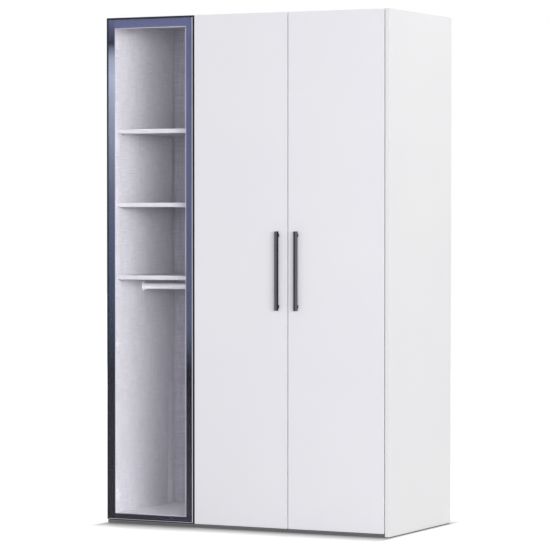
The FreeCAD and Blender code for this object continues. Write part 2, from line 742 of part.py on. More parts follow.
def bar_handle(door, free_edge, towards_hinge):
    """A bevelled bar on two feet, held by screws from inside the door."""
    middle = free_edge + towards_hinge * handle_edge_inset
    body = doc.addObject("PartDesign::Body", "bar")
    half = handle_width / 2
    face = half - handle_bevel
    sketch = outline(body, "XY_Plane", [
        (-half, 0), (-half, handle_bevel - handle_bar_depth), (-face, -handle_bar_depth),
        (face, -handle_bar_depth), (half, handle_bevel - handle_bar_depth), (half, 0)])
    pad(body, sketch, handle_length, "Symmetric")
    stand = handle_projection - handle_bar_depth
    place(body, middle, -stand, handle_level)
    feet, holes, screws = [], [], []
    for level in (handle_level - handle_foot_spacing / 2, handle_level + handle_foot_spacing / 2):
        feet.append(block((middle - handle_foot_width / 2, middle + handle_foot_width / 2), (-stand, 0),
                          (level - handle_foot / 2, level + handle_foot / 2)))
        shank = (middle, -handle_screw_grip, level)
        length = handle_screw_grip + door_thickness
        holes.append(peg("y", shank, length, handle_screw_diameter + 2 * hole_clearance))
        screws.append(fuse([peg("y", shank, length, handle_screw_diameter),
                            peg("y", (middle, door_thickness, level), handle_screw_head_thickness,
                                handle_screw_head)]))
    keep(cut(fuse([body] + feet), holes), f"{door.name}_handle")
    keep(group(screws), f"{door.name}_handle_screws")
    return holes


glass_seat = lip_thickness + glass_thickness + enamel_thickness + gasket_thickness
glass_axis_depth = glass_seat + housing_floor + slot_clearance + arm_eye_radius
glass_hanging = Hanging("glass", 0, 1, plate_thickness, glass_axis_depth)
middle_hanging = Hanging("middle", middle_door_left, 1, plate_thickness + door_gap / 2, door_thickness / 2)
right_hanging = Hanging("right", right_door_right, -1, plate_thickness + door_gap, door_thickness / 2)
for door in (glass_hanging, middle_hanging, right_hanging):
    hinge_arms(door)
    hinge_plates(door)
    hinge_pins(door)
for door, left, right, free_edge in (
        (middle_hanging, middle_door_left, middle_door_right, middle_door_right),
        (right_hanging, right_door_left, right_door_right, right_door_left)):
    bores = hinge_cups(door)
    bores += bar_handle(door, free_edge, -door.inwards)
    plain_door(door, left, right, bores)


# Glass door: four aluminium profiles, mitred at the corners, with a lip in front of the pane, a
# chamber behind it for the corner cleats, and housings for the hinges let into one stile.
chamber = (frame_wall + chamber_wall, frame_width - chamber_wall)
chamber_depth = (glass_seat + chamber_wall, door_thickness - chamber_wall)


def frame_member(length):
    """A mitred profile that runs up from its own origin, with its outer edge at x = 0."""
    body = doc.addObject("PartDesign::Body", "member")
    mitred = outline(body, "XZ_Plane", [
        (0, 0), (frame_width, frame_width), (frame_width, length - frame_width), (0, length)])
    bar = pad(body, mitred, door_thickness, reverse=True)
    outer = [f"Edge{number}" for number, edge in enumerate(bar.Shape.Edges, 1)
             if edge.BoundBox.ZLength > frame_width.value and abs(edge.CenterOfMass.x) < edge_radius.value]
    rounding = body.newObject("PartDesign::Fillet", "OuterEdges")
    rounding.Base = (bar, outer)
    bind(rounding, "Radius", edge_radius)
    doc.recompute()
    past = frame_width + chamber_wall
    for profile in (
            [(lip_width, -chamber_wall), (past, -chamber_wall), (past, glass_seat),
             (frame_wall, glass_seat), (frame_wall, lip_thickness), (lip_width, lip_thickness)],
            [(chamber[0], chamber_depth[0]), (chamber[1], chamber_depth[0]),
             (chamber[1], chamber_depth[1]), (chamber[0], chamber_depth[1])]):
        channel = body.newObject("PartDesign::Pocket", "Channel")
        channel.Profile = outline(body, "XY_Plane", profile)
        channel.Type = "ThroughAll"
        channel.SideType = "Symmetric"
        doc.recompute()
    return body


housings, notches = [], []
for level in hinge_levels:
    depth = (glass_seat, door_thickness)
    housing = block(glass_hanging.across(housing_start, housing_end), depth,
                    (level - housing_height / 2, level + housing_height / 2))
    housings.append(cut(cut(housing, [arm_slot(glass_hanging, level)]), [pin_groove(glass_hanging, level)]))
    half = housing_height / 2 + cleat_clearance
    notches.append(block((housing_start - cleat_clearance, housing_end), (glass_seat, door_thickness),
                         (level - half, level + half)))
keep(group(housings), "glass_hinge_housings")
hinge_stile = place(frame_member(door_height), 0, 0, door_bottom)
keep(cut(hinge_stile, notches), "hinge_stile")
closing_stile = turn(frame_member(door_height), (0, 1, 0), 180)
keep(place(closing_stile, glass_door_width, 0, overall_height), "closing_stile")
top_rail = turn(frame_member(glass_door_width), (0, 1, 0), 90)
keep(place(top_rail, 0, 0, overall_height), "top_rail")
bottom_rail = turn(frame_member(glass_door_width), (0, 1, 0), -90)
keep(place(bottom_rail, glass_door_width, 0, door_bottom), "bottom_rail")

# Corner cleats in the chambers, one angle at each mitre.
near, far = chamber[0] + cleat_clearance, chamber[1] - cleat_clearance
cleat_depth = (chamber_depth[0] + cleat_clearance, chamber_depth[1] - cleat_clearance)
left_span, left_foot = (near, cleat_leg), (near, far)
right_span = (glass_door_width - cleat_leg, glass_door_width - near)
right_foot = (glass_door_width - far, glass_door_width - near)
low_span, low_foot = (door_bottom + near, door_bottom + cleat_leg), (door_bottom + near, door_bottom + far)
high_span = (overall_height - cleat_leg, overall_height - near)
high_foot = (overall_height - far, overall_height - near)
cleats = [fuse([block(span, cleat_depth, flat), block(foot, cleat_depth, rise)])
          for span, foot in ((left_span, left_foot), (right_span, right_foot))
          for rise, flat in ((low_span, low_foot), (high_span, high_foot))]
keep(group(cleats), "corner_cleats")


def ring(depth, outer_inset, side, top, bottom):
    """A flat frame behind the pane, between an outer inset and the widths of its four bands."""
    outer = block((outer_inset, glass_door_width - outer_inset), depth,
                  (door_bottom + outer_inset, overall_height - outer_inset))
    inner = block((side, glass_door_width - side), depth, (door_bottom + bottom, overall_height - top))
    return cut(outer, [inner])


pane_inset = frame_wall + glass_edge_gap
pane_back = lip_thickness + glass_thickness
keep(block((pane_inset, glass_door_width - pane_inset), (lip_thickness, pane_back),
           (door_bottom + pane_inset, overall_height - pane_inset)), "glass_pane")
keep(ring((pane_back, pane_back + enamel_thickness), pane_inset, border_side, border_top, border_bottom),
     "glass_border")
gasket_edge = frame_width - gasket_inset
keep(ring((pane_back + enamel_thickness, glass_seat), pane_inset, gasket_edge, gasket_edge, gasket_edge),
     "glazing_gasket")

doc.recompute()
for thing in doc.Objects:
    if "Invalid" in thing.State or "Error" in thing.State:
        raise RuntimeError(f"{thing.Label} did not recompute")
for thing in sub_parts:
    if thing.Shape.isNull() or not thing.Shape.isValid():
        raise RuntimeError(f"{thing.Label} has no valid shape")
os.makedirs("parts", exist_ok=True)
for thing in sub_parts:
    thing.Shape.exportStep(f"parts/{thing.Label}.step")
print(len(sub_parts), "sub-parts written")
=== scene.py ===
import math

import bpy
from mathutils import Matrix, Vector


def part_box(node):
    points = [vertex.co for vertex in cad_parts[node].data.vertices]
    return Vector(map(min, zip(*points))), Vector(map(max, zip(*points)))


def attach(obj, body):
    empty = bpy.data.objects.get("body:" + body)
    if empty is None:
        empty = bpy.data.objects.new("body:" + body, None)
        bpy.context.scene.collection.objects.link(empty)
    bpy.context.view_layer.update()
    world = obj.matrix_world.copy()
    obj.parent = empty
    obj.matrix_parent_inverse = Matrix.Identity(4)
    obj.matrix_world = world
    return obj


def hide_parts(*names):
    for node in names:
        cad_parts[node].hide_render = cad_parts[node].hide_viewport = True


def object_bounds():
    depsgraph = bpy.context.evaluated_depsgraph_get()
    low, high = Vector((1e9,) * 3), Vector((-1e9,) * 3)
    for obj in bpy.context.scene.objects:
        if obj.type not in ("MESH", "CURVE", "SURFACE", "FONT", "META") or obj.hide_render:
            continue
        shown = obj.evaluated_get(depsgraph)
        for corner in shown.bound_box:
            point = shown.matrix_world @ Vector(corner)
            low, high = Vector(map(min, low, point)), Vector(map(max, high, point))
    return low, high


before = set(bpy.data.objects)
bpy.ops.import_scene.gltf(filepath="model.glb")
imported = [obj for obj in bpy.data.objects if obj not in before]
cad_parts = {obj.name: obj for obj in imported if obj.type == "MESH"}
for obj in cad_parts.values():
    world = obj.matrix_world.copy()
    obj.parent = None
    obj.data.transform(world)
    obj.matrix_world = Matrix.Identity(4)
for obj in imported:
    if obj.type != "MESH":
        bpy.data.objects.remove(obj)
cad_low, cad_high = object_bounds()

# Carcase boards
# Chipboard faced with pale linen-print melamine, edged with plastic tape, drilled on a line and dowelled
# together. The bottoms have the same print drawn paler, as painted light on the flat boards, and the faces
# that show from outside are plain white.


def linear(code):
    """The linear colour of an sRGB hex code."""
    channels = [int(code[start:start + 2], 16) / 255 for start in (1, 3, 5)]
    return [c / 12.92 if c <= 0.04045 else ((c + 0.055) / 1.055) ** 2.4 for c in channels] + [1]


def add_node(material, kind, inputs, **settings):
    """Add a shader node. An input is a value, or the socket that feeds it."""
    made = material.node_tree.nodes.new(kind)
    for name, value in settings.items():
        setattr(made, name, value)
    for name, value in inputs.items():
        if isinstance(value, bpy.types.NodeSocket):
            material.node_tree.links.new(value, made.inputs[name])
        else:
            made.inputs[name].default_value = value
    return made


def new_material(name):
    """An empty finish: the material, its shader's inputs and the place of a point on the piece."""
    material = bpy.data.materials.new(name)
    material.use_nodes = True
    shader = material.node_tree.nodes["Principled BSDF"].inputs
    place = add_node(material, "ShaderNodeTexCoord", {}).outputs["Object"]
    return material, shader, place


def linen_melamine(name, pale, deep, white_outside=False):
    """Melamine printed like woven linen: two sets of crossed threads, nearly matt, with a faint relief."""
    thread = 0.004        # real threads are about 1 mm; drawn wider, so that they show at a distance
    thread_run = 0.07
    faintest, strongest = 0.7, 1.3
    material, shader, place = new_material(name)
    weave = []
    for across in ((1 / thread_run, 1 / thread_run, 1 / thread), (1 / thread, 1 / thread, 1 / thread_run)):
        stretched = add_node(material, "ShaderNodeMapping", {"Vector": place, "Scale": across})
        threads = add_node(material, "ShaderNodeTexNoise",
                           {"Vector": stretched.outputs["Vector"], "Scale": 1, "Detail": 2})
        weave.append(threads.outputs["Fac"])
    crossed = add_node(material, "ShaderNodeMath", {0: weave[0], 1: weave[1]}, operation="ADD")
    tone = add_node(material, "ShaderNodeMapRange",
                    {"Value": crossed.outputs[0], "From Min": faintest, "From Max": strongest})
    colour = add_node(material, "ShaderNodeMix", data_type="RGBA", inputs={
        0: tone.outputs[0], 6: linear(deep), 7: linear(pale)}).outputs[2]
    if white_outside:
        skin = 0.0004
        plain_white = "#E6E6EA"
        x, _, z = add_node(material, "ShaderNodeSeparateXYZ", {"Vector": place}).outputs
        left = add_node(material, "ShaderNodeMath", {0: x, 1: cad_low.x + skin}, operation="LESS_THAN")
        top = add_node(material, "ShaderNodeMath", {0: z, 1: cad_high.z - skin}, operation="GREATER_THAN")
        outside = add_node(material, "ShaderNodeMath", {0: left.outputs[0], 1: top.outputs[0]},
                           operation="MAXIMUM")
        colour = add_node(material, "ShaderNodeMix", data_type="RGBA", inputs={
            0: outside.outputs[0], 6: colour, 7: linear(plain_white)}).outputs[2]
    relief = add_node(material, "ShaderNodeBump",
                      {"Height": crossed.outputs[0], "Strength": 0.25, "Distance": 0.0002})
    material.node_tree.links.new(colour, shader["Base Color"])
    material.node_tree.links.new(relief.outputs[0], shader["Normal"])
    shader["Roughness"].default_value = 0.55
    shader["IOR"].default_value = 1.5
    return material


def dress(material, *nodes):
    """Give CAD nodes a finish."""
    for node in nodes:
        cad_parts[node].material_slots[0].material = material


same_point = 0.00001


def ease_edges(node, width):
    """Take the sharpness off a CAD board's edges, without touching its mesh."""
    flat_angle, edge_angle = math.radians(1), math.radians(50)
    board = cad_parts[node]
    weld = board.modifiers.new("joined faces", "WELD")
    weld.merge_threshold = same_point
    flat = board.modifiers.new("whole faces", "DECIMATE")
    flat.decimate_type = "DISSOLVE"
    flat.angle_limit = flat_angle
    eased = board.modifiers.new("eased edges", "BEVEL")
    eased.width = width
    eased.segments = 2
    eased.limit_method = "ANGLE"
    eased.angle_limit = edge_angle


tape_radius = 0.0008
upper_boards = ("left_side_panel", "glass_unit_inner_side", "pair_unit_inner_side", "pair_unit_outer_side",
                "glass_unit_top", "pair_unit_top")
bottom_boards = ("glass_unit_bottom", "pair_unit_bottom")
dress(linen_melamine("linen_print_melamine", "#D9D7DD", "#C3C1C9", white_outside=True), *upper_boards)
# The bottoms' paler print is painted light: it stands in for light falling on the flat boards.
dress(linen_melamine("linen_print_painted_lighter", "#F3F1F6", "#E6E4EB"), *bottom_boards)
for board in upper_boards + bottom_boards:
    ease_edges(board, tape_radius)

# Backs
# Thin board with the same linen print, cut to size and pushed into a groove all round the carcase before
# its last side goes on. The print is drawn in a deeper grey than the carcase's, as painted shade for the
# back of the deep carcase.
dress(linen_melamine("linen_print_painted_shade", "#A9A6B4", "#8F8D98"), "glass_unit_back", "pair_unit_back")

# Shelves
# The same board as the carcase, laid on pins, its print drawn darker than the carcase's as painted shade.
# The plastic tape on the front edge is rounded over, so it catches light.
shelves = ("upper_shelf", "middle_shelf", "lower_shelf", "hat_shelf")
dress(linen_melamine("shelf_melamine_painted_shade", "#C9C6CE", "#BCB9C2"), *shelves)
for shelf in shelves:
    ease_edges(shelf, tape_radius)

# Hanging rails
# Drawn steel tube, painted white and cut square, with the burr taken off. Each end lies in a moulded
# bracket on the side.


def satin_metal(name, colour, roughness, metallic=1):
    """Satin metal, or smooth paint on metal: a soft sheen with a fine grain along its length."""
    grain = 0.0012        # real grain is far finer; drawn wider, so that it shows
    grain_run = 0.06
    sheen_spread = 0.06
    material, shader, place = new_material(name)
    drawn = add_node(material, "ShaderNodeMapping",
                     {"Vector": place, "Scale": (1 / grain_run, 1 / grain, 1 / grain)})
    streaks = add_node(material, "ShaderNodeTexNoise",
                       {"Vector": drawn.outputs["Vector"], "Scale": 1, "Detail": 3})
    worn = add_node(material, "ShaderNodeMapRange", {
        "Value": streaks.outputs["Fac"],
        "To Min": roughness - sheen_spread, "To Max": roughness + sheen_spread})
    material.node_tree.links.new(worn.outputs[0], shader["Roughness"])
    shader["Base Color"].default_value = linear(colour)
    shader["Metallic"].default_value = metallic
    return material


def apply_modifier(piece, kind, **settings):
    """Add a modifier to a piece and apply it."""
    modifier = piece.modifiers.new(kind.lower(), kind)
    for name, value in settings.items():
        setattr(modifier, name, value)
    bpy.context.view_layer.objects.active = piece
    bpy.ops.object.modifier_apply(modifier=modifier.name)


def take(name, body, slot, material, *nodes):
    """Name the piece just modelled, finish it, hang it on its body and let it stand for CAD nodes."""
    smooth_angle = math.radians(35)
    piece = bpy.context.object
    piece.name = piece.data.name = name
    piece.data.materials.clear()
    piece.data.materials.append(material)
    bpy.ops.object.shade_smooth_by_angle(angle=smooth_angle)
    apply_modifier(piece, "WEIGHTED_NORMAL", keep_sharp=True)
    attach(piece, body)
    if nodes:
        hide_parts(*nodes)


def select(piece, faces=None, edges=None):
    """Go into edit mode with only the faces or edges that a test on their middle picks."""
    bpy.ops.object.mode_set(mode="OBJECT")
    mesh = piece.data
    for part in (mesh.vertices, mesh.edges, mesh.polygons):
        part.foreach_set("select", [False] * len(part))
    for face in mesh.polygons:
        face.select = bool(faces and faces(face.center, face.normal))
    for edge in mesh.edges:
        ends = [mesh.vertices[end].co for end in edge.vertices]
        edge.select = edge.select or bool(edges and edges((ends[0] + ends[1]) / 2, ends[1] - ends[0]))
    bpy.context.tool_settings.mesh_select_mode = (False, not faces, bool(faces))
    bpy.ops.object.mode_set(mode="EDIT")


square_on = 0.9        # a face whose normal has more than this along an axis faces that way
round_sides = 72
rail_wall = 0.0015
burr_round = 0.0003
rail_finish = satin_metal("white_painted_steel", "#F9F7FC", 0.34, metallic=0)
for unit in ("glass_unit", "pair_unit"):
    low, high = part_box(f"{unit}_rail")
    bpy.ops.object.select_all(action="DESELECT")
    bpy.ops.mesh.primitive_cylinder_add(
        vertices=round_sides, radius=(high.z - low.z) / 2, depth=high.x - low.x,
        location=(low + high) / 2, rotation=(0, math.pi / 2, 0))
    bpy.ops.object.transform_apply(location=True, rotation=True, scale=True)
    rail = bpy.context.object
    select(rail, faces=lambda middle, normal: abs(normal.x) > square_on)
    bpy.ops.mesh.inset(thickness=rail_wall)
    bpy.ops.mesh.bridge_edge_loops()
    bpy.ops.object.mode_set(mode="OBJECT")
    apply_modifier(rail, "BEVEL", width=burr_round, segments=2, limit_method="ANGLE")
    take(f"{unit}_rail_tube", "carcase", "rail_metal", rail_finish, f"{unit}_rail")

# Rail brackets
# Moulded in white plastic: a rounded plate held by one screw, with an open lip below the rail, so that
# the rail is laid in from above.


def moulded_plastic(name, colour):
    """Injection-moulded plastic: an even colour with a fine spark-eroded grain that dulls the shine."""
    grain = 0.0012        # real mould grain is about 0.1 mm; drawn coarser, so that it shows
    material, shader, place = new_material(name)
    eroded = add_node(material, "ShaderNodeTexNoise", {"Vector": place, "Scale": 1 / grain, "Detail": 2})
    relief = add_node(material, "ShaderNodeBump",
                      {"Height": eroded.outputs["Fac"], "Strength": 0.2, "Distance": 0.0001})
    material.node_tree.links.new(relief.outputs[0], shader["Normal"])
    shader["Base Color"].default_value = linear(colour)
    shader["Roughness"].default_value = 0.45
    return material


def add_block(low, high):
    """Add a cube between two corners, selected alone, its place in its mesh."""
    bpy.ops.object.select_all(action="DESELECT")
    bpy.ops.mesh.primitive_cube_add(size=1, location=(low + high) / 2, scale=high - low)
    bpy.ops.object.transform_apply(location=True, rotation=True, scale=True)
    return bpy.context.object


def add_screw_head(radius, height):
    """Model a pan head with a cross recess at the origin, its seat on x = 0, facing +X."""
    head_sides = 24
    rim_round = height * 0.4
    recess_reach, recess_half_width, recess_floor = radius * 0.6, radius * 0.14, height * 0.45
    bpy.ops.object.select_all(action="DESELECT")
    bpy.ops.mesh.primitive_cylinder_add(vertices=head_sides, radius=radius, depth=height,
                                        location=(height / 2, 0, 0), rotation=(0, math.pi / 2, 0))
    bpy.ops.object.transform_apply(location=True, rotation=True, scale=True)
    head = bpy.context.object
    select(head, edges=lambda middle, run: middle.x > height / 2 and abs(run.x) < height / 2)
    bpy.ops.mesh.bevel(offset=rim_round, segments=3)
    bpy.ops.object.mode_set(mode="OBJECT")
    for half_y, half_z in ((recess_reach, recess_half_width), (recess_half_width, recess_reach)):
        cross = add_block(Vector((recess_floor, -half_y, -half_z)), Vector((height, half_y, half_z)))
        apply_modifier(head, "BOOLEAN", object=cross, operation="DIFFERENCE", solver="EXACT")
        bpy.data.objects.remove(cross)
    return head


def join_copies(original, places):
    """Join copies of a modelled shape, one at each place, into one object in place of the original."""
    copies = []
    for place in places:
        one = original.copy()
        one.data = original.data.copy()
        one.data.transform(place)
        if place.is_negative:
            one.data.flip_normals()
        bpy.context.scene.collection.objects.link(one)
        copies.append(one)
    bpy.data.objects.remove(original)
    bpy.ops.object.select_all(action="DESELECT")
    for one in copies:
        one.select_set(True)
    bpy.context.view_layer.objects.active = copies[0]
    bpy.ops.object.join()


def add_bracket(rail_radius):
    """Model a bracket at the origin: the wall on x = 0, the rail's axis along X through the origin."""
    plate_size = Vector((0.003, 0.024, 0.041))
    plate_corner, plate_round = plate_size.y * 0.49, 0.0006
    lip_depth, lip_wall, lip_clearance, lip_round = 0.014, 0.003, 0.0001, 0.0005
    head_radius, head_height, head_rise = 0.0026, 0.0012, 0.0045
    corner = Vector((0, plate_size.y / 2, plate_size.z / 2))
    bracket = add_block(-corner, Vector((plate_size.x, corner.y, corner.z)))
    select(bracket, edges=lambda middle, run: abs(run.x) > plate_size.x / 2)
    bpy.ops.mesh.bevel(offset=plate_corner, segments=14)
    bpy.ops.object.mode_set(mode="OBJECT")
    apply_modifier(bracket, "BEVEL", width=plate_round, segments=2, limit_method="ANGLE")
    lip_middle = rail_radius + lip_clearance + lip_wall / 2
    bpy.ops.object.select_all(action="DESELECT")
    bpy.ops.mesh.primitive_plane_add(size=1, location=(lip_depth / 2, -lip_middle, 0))
    lip = bpy.context.object
    lip.scale = (lip_depth, lip_wall, 1)
    bpy.ops.object.transform_apply(location=True, rotation=True, scale=True)
    bpy.ops.object.mode_set(mode="EDIT")
    bpy.ops.mesh.select_all(action="SELECT")
    bpy.ops.mesh.spin(steps=32, angle=math.pi, center=(0, 0, 0), axis=(1, 0, 0))
    bpy.ops.mesh.select_all(action="SELECT")
    bpy.ops.mesh.remove_doubles(threshold=same_point)
    bpy.ops.mesh.normals_make_consistent(inside=False)
    bpy.ops.object.mode_set(mode="OBJECT")
    if max(point.co.z for point in lip.data.vertices) > lip_wall:
        lip.data.transform(Matrix.Rotation(math.pi, 4, "X"))
    apply_modifier(lip, "BEVEL", width=lip_round, segments=2, limit_method="ANGLE")
    head = add_screw_head(head_radius, head_height)
    head.data.transform(Matrix.Translation((plate_size.x, 0, rail_radius + head_rise)))
    for piece in (bracket, lip, head):
        piece.select_set(True)
    bpy.context.view_layer.objects.active = bracket
    bpy.ops.object.join()
    return bpy.context.object


bracket_finish = moulded_plastic("white_moulded_plastic", "#F9F8FC")
for unit in ("glass_unit", "pair_unit"):
    low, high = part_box(f"{unit}_rail_sockets")
    rail_low, rail_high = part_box(f"{unit}_rail")
    axis_place = (rail_low + rail_high) / 2
    left_end = Matrix.Translation((low.x, axis_place.y, axis_place.z))
    right_end = Matrix.Translation((high.x, axis_place.y, axis_place.z)) @ Matrix.Scale(-1, 4, (1, 0, 0))
    join_copies(add_bracket((rail_high.z - rail_low.z) / 2), (left_end, right_end))
    take(f"{unit}_rail_brackets", "carcase", "rail_metal", bracket_finish, f"{unit}_rail_sockets")

# Joining fittings
# Beech dowels glued between the boards, and plated sleeves and bolts that draw the two units together.
# Plated pins carry the shelves, screws hold the end panel and the handles, and brackets the wall.


def beech():
    """Turned beech: pale pinkish brown with short darker flecks along the grain."""
    fleck = 0.0012
    fleck_run = 0.008
    material, shader, place = new_material("turned_beech")
    drawn = add_node(material, "ShaderNodeMapping",
                     {"Vector": place, "Scale": (1 / fleck_run, 1 / fleck, 1 / fleck)})
    flecks = add_node(material, "ShaderNodeTexNoise",
                      {"Vector": drawn.outputs["Vector"], "Scale": 1, "Detail": 3})
    tone = add_node(material, "ShaderNodeMix", data_type="RGBA", inputs={
        0: flecks.outputs["Fac"], 6: linear("#C69B6D"), 7: linear("#DDBE95")})
    material.node_tree.links.new(tone.outputs[2], shader["Base Color"])
    shader["Roughness"].default_value = 0.6
    return material


dress(beech(), "panel_dowels")
plating = satin_metal("bright_zinc_plated_steel", "#B4B6BB", 0.3)
dress(plating, "connecting_sleeves", "connecting_bolts", "shelf_pins", "end_panel_screws",
      "middle_handle_screws", "right_handle_screws", "wall_brackets", "wall_bracket_screws")

# Floor glides
# Moulded plastic feet, each with a stem that is pressed into the underside of a side. They keep the
# boards off the floor.
dress(moulded_plastic("grey_moulded_plastic", "#8D8E92"), "floor_glides")

# Plinth strips
# Grey anodised aluminium extrusions with a groove along the front, cut to the width of each unit and
# clipped under the doors.
plinth_finish = satin_metal("grey_anodised_aluminium", "#767578", 0.42, metallic=0.5)
dress(plinth_finish, "glass_unit_plinth", "pair_unit_plinth")

# End panel
# One tall board, sprayed with satin white lacquer on every face, edges just eased. It stands on a thin
# strip set back from its faces, which leaves a shadow line at the floor; the strip is drawn dark grey as
# well, as painted shade for that line.


def white_lacquer(name, deep, pale):
    """Sprayed satin lacquer: a soft sheen, the slight ripple of a sprayed coat, a trace of cloudiness."""
    ripple = 0.006        # real spray ripple is 2 to 3 mm; drawn wider, so that it shows
    cloud = 0.5
    material, shader, place = new_material(name)
    sprayed = add_node(material, "ShaderNodeTexNoise", {"Vector": place, "Scale": 1 / ripple, "Detail": 2})
    relief = add_node(material, "ShaderNodeBump",
                      {"Height": sprayed.outputs["Fac"], "Strength": 0.08, "Distance": 0.0001})
    clouded = add_node(material, "ShaderNodeTexNoise", {"Vector": place, "Scale": 1 / cloud, "Detail": 1})
    tone = add_node(material, "ShaderNodeMix", data_type="RGBA", inputs={
        0: clouded.outputs["Fac"], 6: linear(deep), 7: linear(pale)})
    material.node_tree.links.new(tone.outputs[2], shader["Base Color"])
    material.node_tree.links.new(relief.outputs[0], shader["Normal"])
    shader["Roughness"].default_value = 0.38
    shader["IOR"].default_value = 1.48
    return material


panel_lacquer = white_lacquer("satin_white_lacquer", "#E6E6E8", "#EBEBEC")
# Dark grey strip: painted shade for the line at the floor, on top of the shade in its recess.
strip_painted_shade = moulded_plastic("dark_plastic_painted_shade", "#4C4C4F")
eased_radius = 0.0007
strip_height = 0.004
strip_inset = 0.005
low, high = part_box("end_panel")
panel = add_block(low + Vector((0, 0, strip_height)), high)
apply_modifier(panel, "BEVEL", width=eased_radius, segments=3)
take("end_panel_board", "carcase", "white_lacquered_board", panel_lacquer, "end_panel")
set_back = Vector((strip_inset, strip_inset, 0))
strip = add_block(low + set_back, Vector((high.x, high.y, low.z + strip_height)) - set_back)
apply_modifier(strip, "BEVEL", width=eased_radius, segments=2)
take("end_panel_strip", "carcase", "grey_plastic", strip_painted_shade)

# Plain doors
# Flat leaves of lacquered board, every edge rounded over, with four round bores in the back for the
# hinge cups.
door_lacquer = white_lacquer("cool_white_lacquer", "#E9E8EE", "#EEEDF2")
bore_clearance = 0.0001
half_pin = 0.011
hinge_count = 4


def hinge_levels(door):
    """The heights of a door's hinges: the middles of its pins, which are evenly spaced."""
    pins_low, pins_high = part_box(f"{door}_hinge_pins")
    step = (pins_high.z - pins_low.z - 2 * half_pin) / (hinge_count - 1)
    return [pins_low.z + half_pin + number * step for number in range(hinge_count)]


for door in ("middle", "right"):
    leaf = add_block(*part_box(f"{door}_door_panel"))
    apply_modifier(leaf, "BEVEL", width=eased_radius, segments=3)
    cup_low, cup_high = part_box(f"{door}_hinge_cups")
    leaf_back = max(corner[1] for corner in leaf.bound_box)
    bore_x = (cup_low.x + cup_high.x) / 2
    bore_y = (cup_low.y + leaf_back) / 2 - bore_clearance
    for level in hinge_levels(door):
        bpy.ops.object.select_all(action="DESELECT")
        bpy.ops.mesh.primitive_cylinder_add(
            vertices=round_sides, radius=(cup_high.x - cup_low.x) / 2 + bore_clearance,
            depth=leaf_back - cup_low.y + 2 * bore_clearance, location=(bore_x, bore_y, level),
            rotation=(math.pi / 2, 0, 0))
        drill = bpy.context.object
        apply_modifier(leaf, "BOOLEAN", object=drill, operation="DIFFERENCE", solver="EXACT")
        bpy.data.objects.remove(drill)
    bpy.ops.object.select_all(action="DESELECT")
    leaf.select_set(True)
    take(f"{door}_door_leaf", f"{door}_door", "white_lacquered_board", door_lacquer, f"{door}_door_panel")

# Bar handles
# Cast zinc bars on two feet, with broad bevels along the front, coated in dark grey satin paint and
# screwed on from inside the door. A lighter grey stripe along the front is a painted highlight, nearer the
# outer edge on the right handle.


def dark_coating(name, highlight_middle, highlight_width, highlight_back):
    """Satin coated metal: near black with a fine grain, and a lighter stripe along the front: a painted
    highlight.
    """
    grain = 0.0015
    material, shader, place = new_material(name)
    speckle = add_node(material, "ShaderNodeTexNoise", {"Vector": place, "Scale": 1 / grain, "Detail": 2})
    coat = add_node(material, "ShaderNodeMix", data_type="RGBA", inputs={
        0: speckle.outputs["Fac"], 6: linear("#0E0E13"), 7: linear("#17171D")})
    highlight = add_node(material, "ShaderNodeMix", data_type="RGBA", inputs={
        0: speckle.outputs["Fac"], 6: linear("#545359"), 7: linear("#626169")})
    x, y, _ = add_node(material, "ShaderNodeSeparateXYZ", {"Vector": place}).outputs
    across = add_node(material, "ShaderNodeMath", {0: x, 1: highlight_middle, 2: highlight_width / 2},
                      operation="COMPARE")
    in_front = add_node(material, "ShaderNodeMath", {0: y, 1: highlight_back}, operation="LESS_THAN")
    painted_highlight = add_node(material, "ShaderNodeMath", {0: across.outputs[0], 1: in_front.outputs[0]},
                      operation="MULTIPLY")
    colour = add_node(material, "ShaderNodeMix", data_type="RGBA", inputs={
        0: painted_highlight.outputs[0], 6: coat.outputs[2], 7: highlight.outputs[2]})
    relief = add_node(material, "ShaderNodeBump",
                      {"Height": speckle.outputs["Fac"], "Strength": 0.15, "Distance": 0.0001})
    material.node_tree.links.new(colour.outputs[2], shader["Base Color"])
    material.node_tree.links.new(relief.outputs[0], shader["Normal"])
    shader["Roughness"].default_value = 0.4
    shader["IOR"].default_value = 1.45
    shader["Specular IOR Level"].default_value = 0.2
    return material


bar_depth = 0.010
bar_round = 0.0006
front_bevel = 0.0035
foot_height = 0.014
foot_width = 0.009
foot_inset = 0.009
